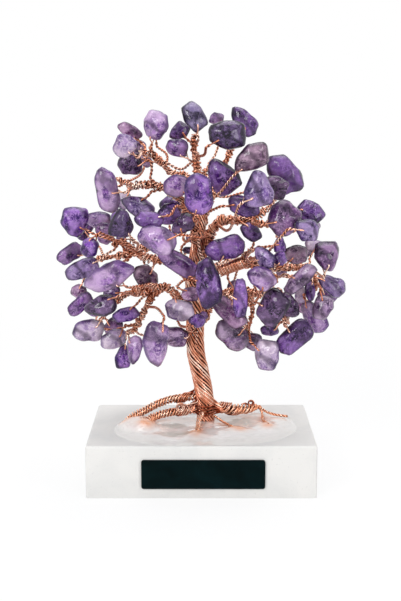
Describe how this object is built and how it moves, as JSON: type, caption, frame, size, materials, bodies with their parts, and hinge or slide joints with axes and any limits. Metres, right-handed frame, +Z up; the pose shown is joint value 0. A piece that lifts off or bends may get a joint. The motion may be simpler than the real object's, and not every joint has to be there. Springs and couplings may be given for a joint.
{
  "type": "gemstone tree ornament",
  "caption": "Desk ornament: a small tree of twisted copper wire whose twigs carry tumbled violet stone chips, its roots set in resin on a white stone base with a blank plate.",
  "frame": {"origin": "centre of the underside of the base block", "axes": "+Z up along the trunk, -Y the front with the blank name plate, +X to the right of someone who looks at the front"},
  "size_m": [0.0979, 0.0612, 0.1286],
  "materials": {
    "white_stone": "satin",
    "plate_plastic": "gloss",
    "clear_resin": "gloss",
    "copper_wire": "polished",
    "amethyst": "polished"
  },
  "bodies": {
    "root": {"back_high_limb": "copper_wire", "back_left_limb": "copper_wire", "back_right_limb": "copper_wire", "base_block": "white_stone", "front_limb": "copper_wire", "front_right_root": "copper_wire", "front_root": "copper_wire", "gems_back_high": "amethyst", "gems_back_low": "amethyst", "gems_centre": "amethyst", "gems_left_high": "amethyst", "gems_left_low": "amethyst", "gems_left_mid": "amethyst", "gems_low_centre": "amethyst", "gems_right_far": "amethyst", "gems_right_high": "amethyst", "gems_right_low": "amethyst", "gems_right_mid": "amethyst", "gems_top_left": "amethyst", "gems_top_right": "amethyst", "left_back_root": "copper_wire", "left_drop_branch": "copper_wire", "left_far_branch": "copper_wire", "left_front_root": "copper_wire", "left_high_limb": "copper_wire", "left_low_branch": "copper_wire", "left_low_limb": "copper_wire", "left_mid_limb": "copper_wire", "limb_winding": "copper_wire", "name_plate": "plate_plastic", "resin_pool": "clear_resin", "right_drop_branch": "copper_wire", "right_far_branch": "copper_wire", "right_high_branch": "copper_wire", "right_high_limb": "copper_wire", "right_low_limb": "copper_wire", "right_mid_limb": "copper_wire", "right_riser": "copper_wire", "right_root": "copper_wire", "right_root_tails": "copper_wire", "stem_bundle": "copper_wire", "top_left_limb": "copper_wire", "top_limb": "copper_wire", "top_right_limb": "copper_wire", "trunk_bundle": "copper_wire", "twigs_back_high": "copper_wire", "twigs_back_low": "copper_wire", "twigs_centre": "copper_wire", "twigs_left_high": "copper_wire", "twigs_left_low": "copper_wire", "twigs_left_mid": "copper_wire", "twigs_low_centre": "copper_wire", "twigs_right_far": "copper_wire", "twigs_right_high": "copper_wire", "twigs_right_low": "copper_wire", "twigs_right_mid": "copper_wire", "twigs_top_left": "copper_wire", "twigs_top_right": "copper_wire"}
  },
  "joints": []
}
